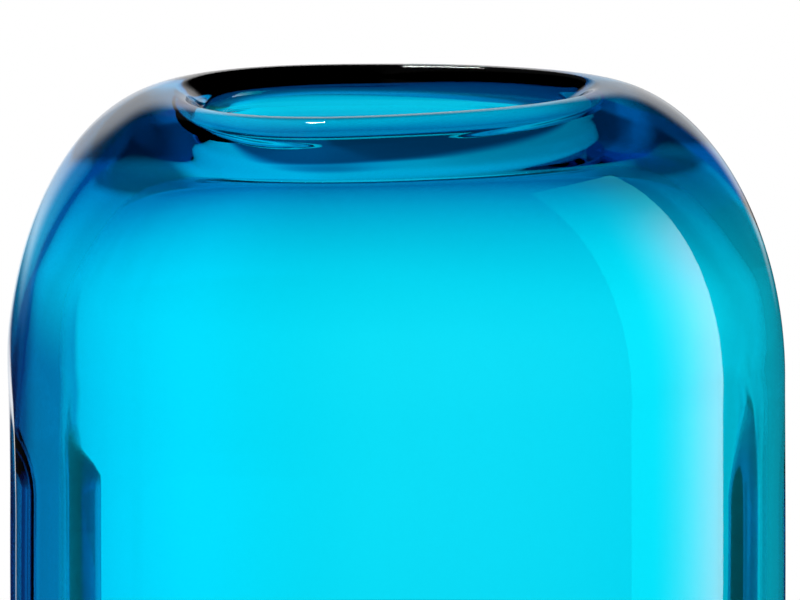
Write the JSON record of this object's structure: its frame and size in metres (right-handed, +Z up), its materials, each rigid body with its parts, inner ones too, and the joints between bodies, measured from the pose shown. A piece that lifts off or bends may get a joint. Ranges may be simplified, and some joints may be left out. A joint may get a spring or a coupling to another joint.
{
  "type": "vase",
  "caption": "Thick-walled, mouth-blown turquoise glass vase with an oblong body, domed shoulders, an oval lip and pinched narrow sides.",
  "frame": {"origin": "middle of the foot, on the table", "axes": "+Z up through the mouth, +X along the broad side, -Y the front broad side"},
  "size_m": [0.1718, 0.116, 0.23],
  "materials": {
    "outer_glass": "gloss",
    "inner_glass": "gloss"
  },
  "bodies": {
    "root": {"outer_layer": "outer_glass", "inner_layer": "inner_glass"}
  },
  "joints": []
}
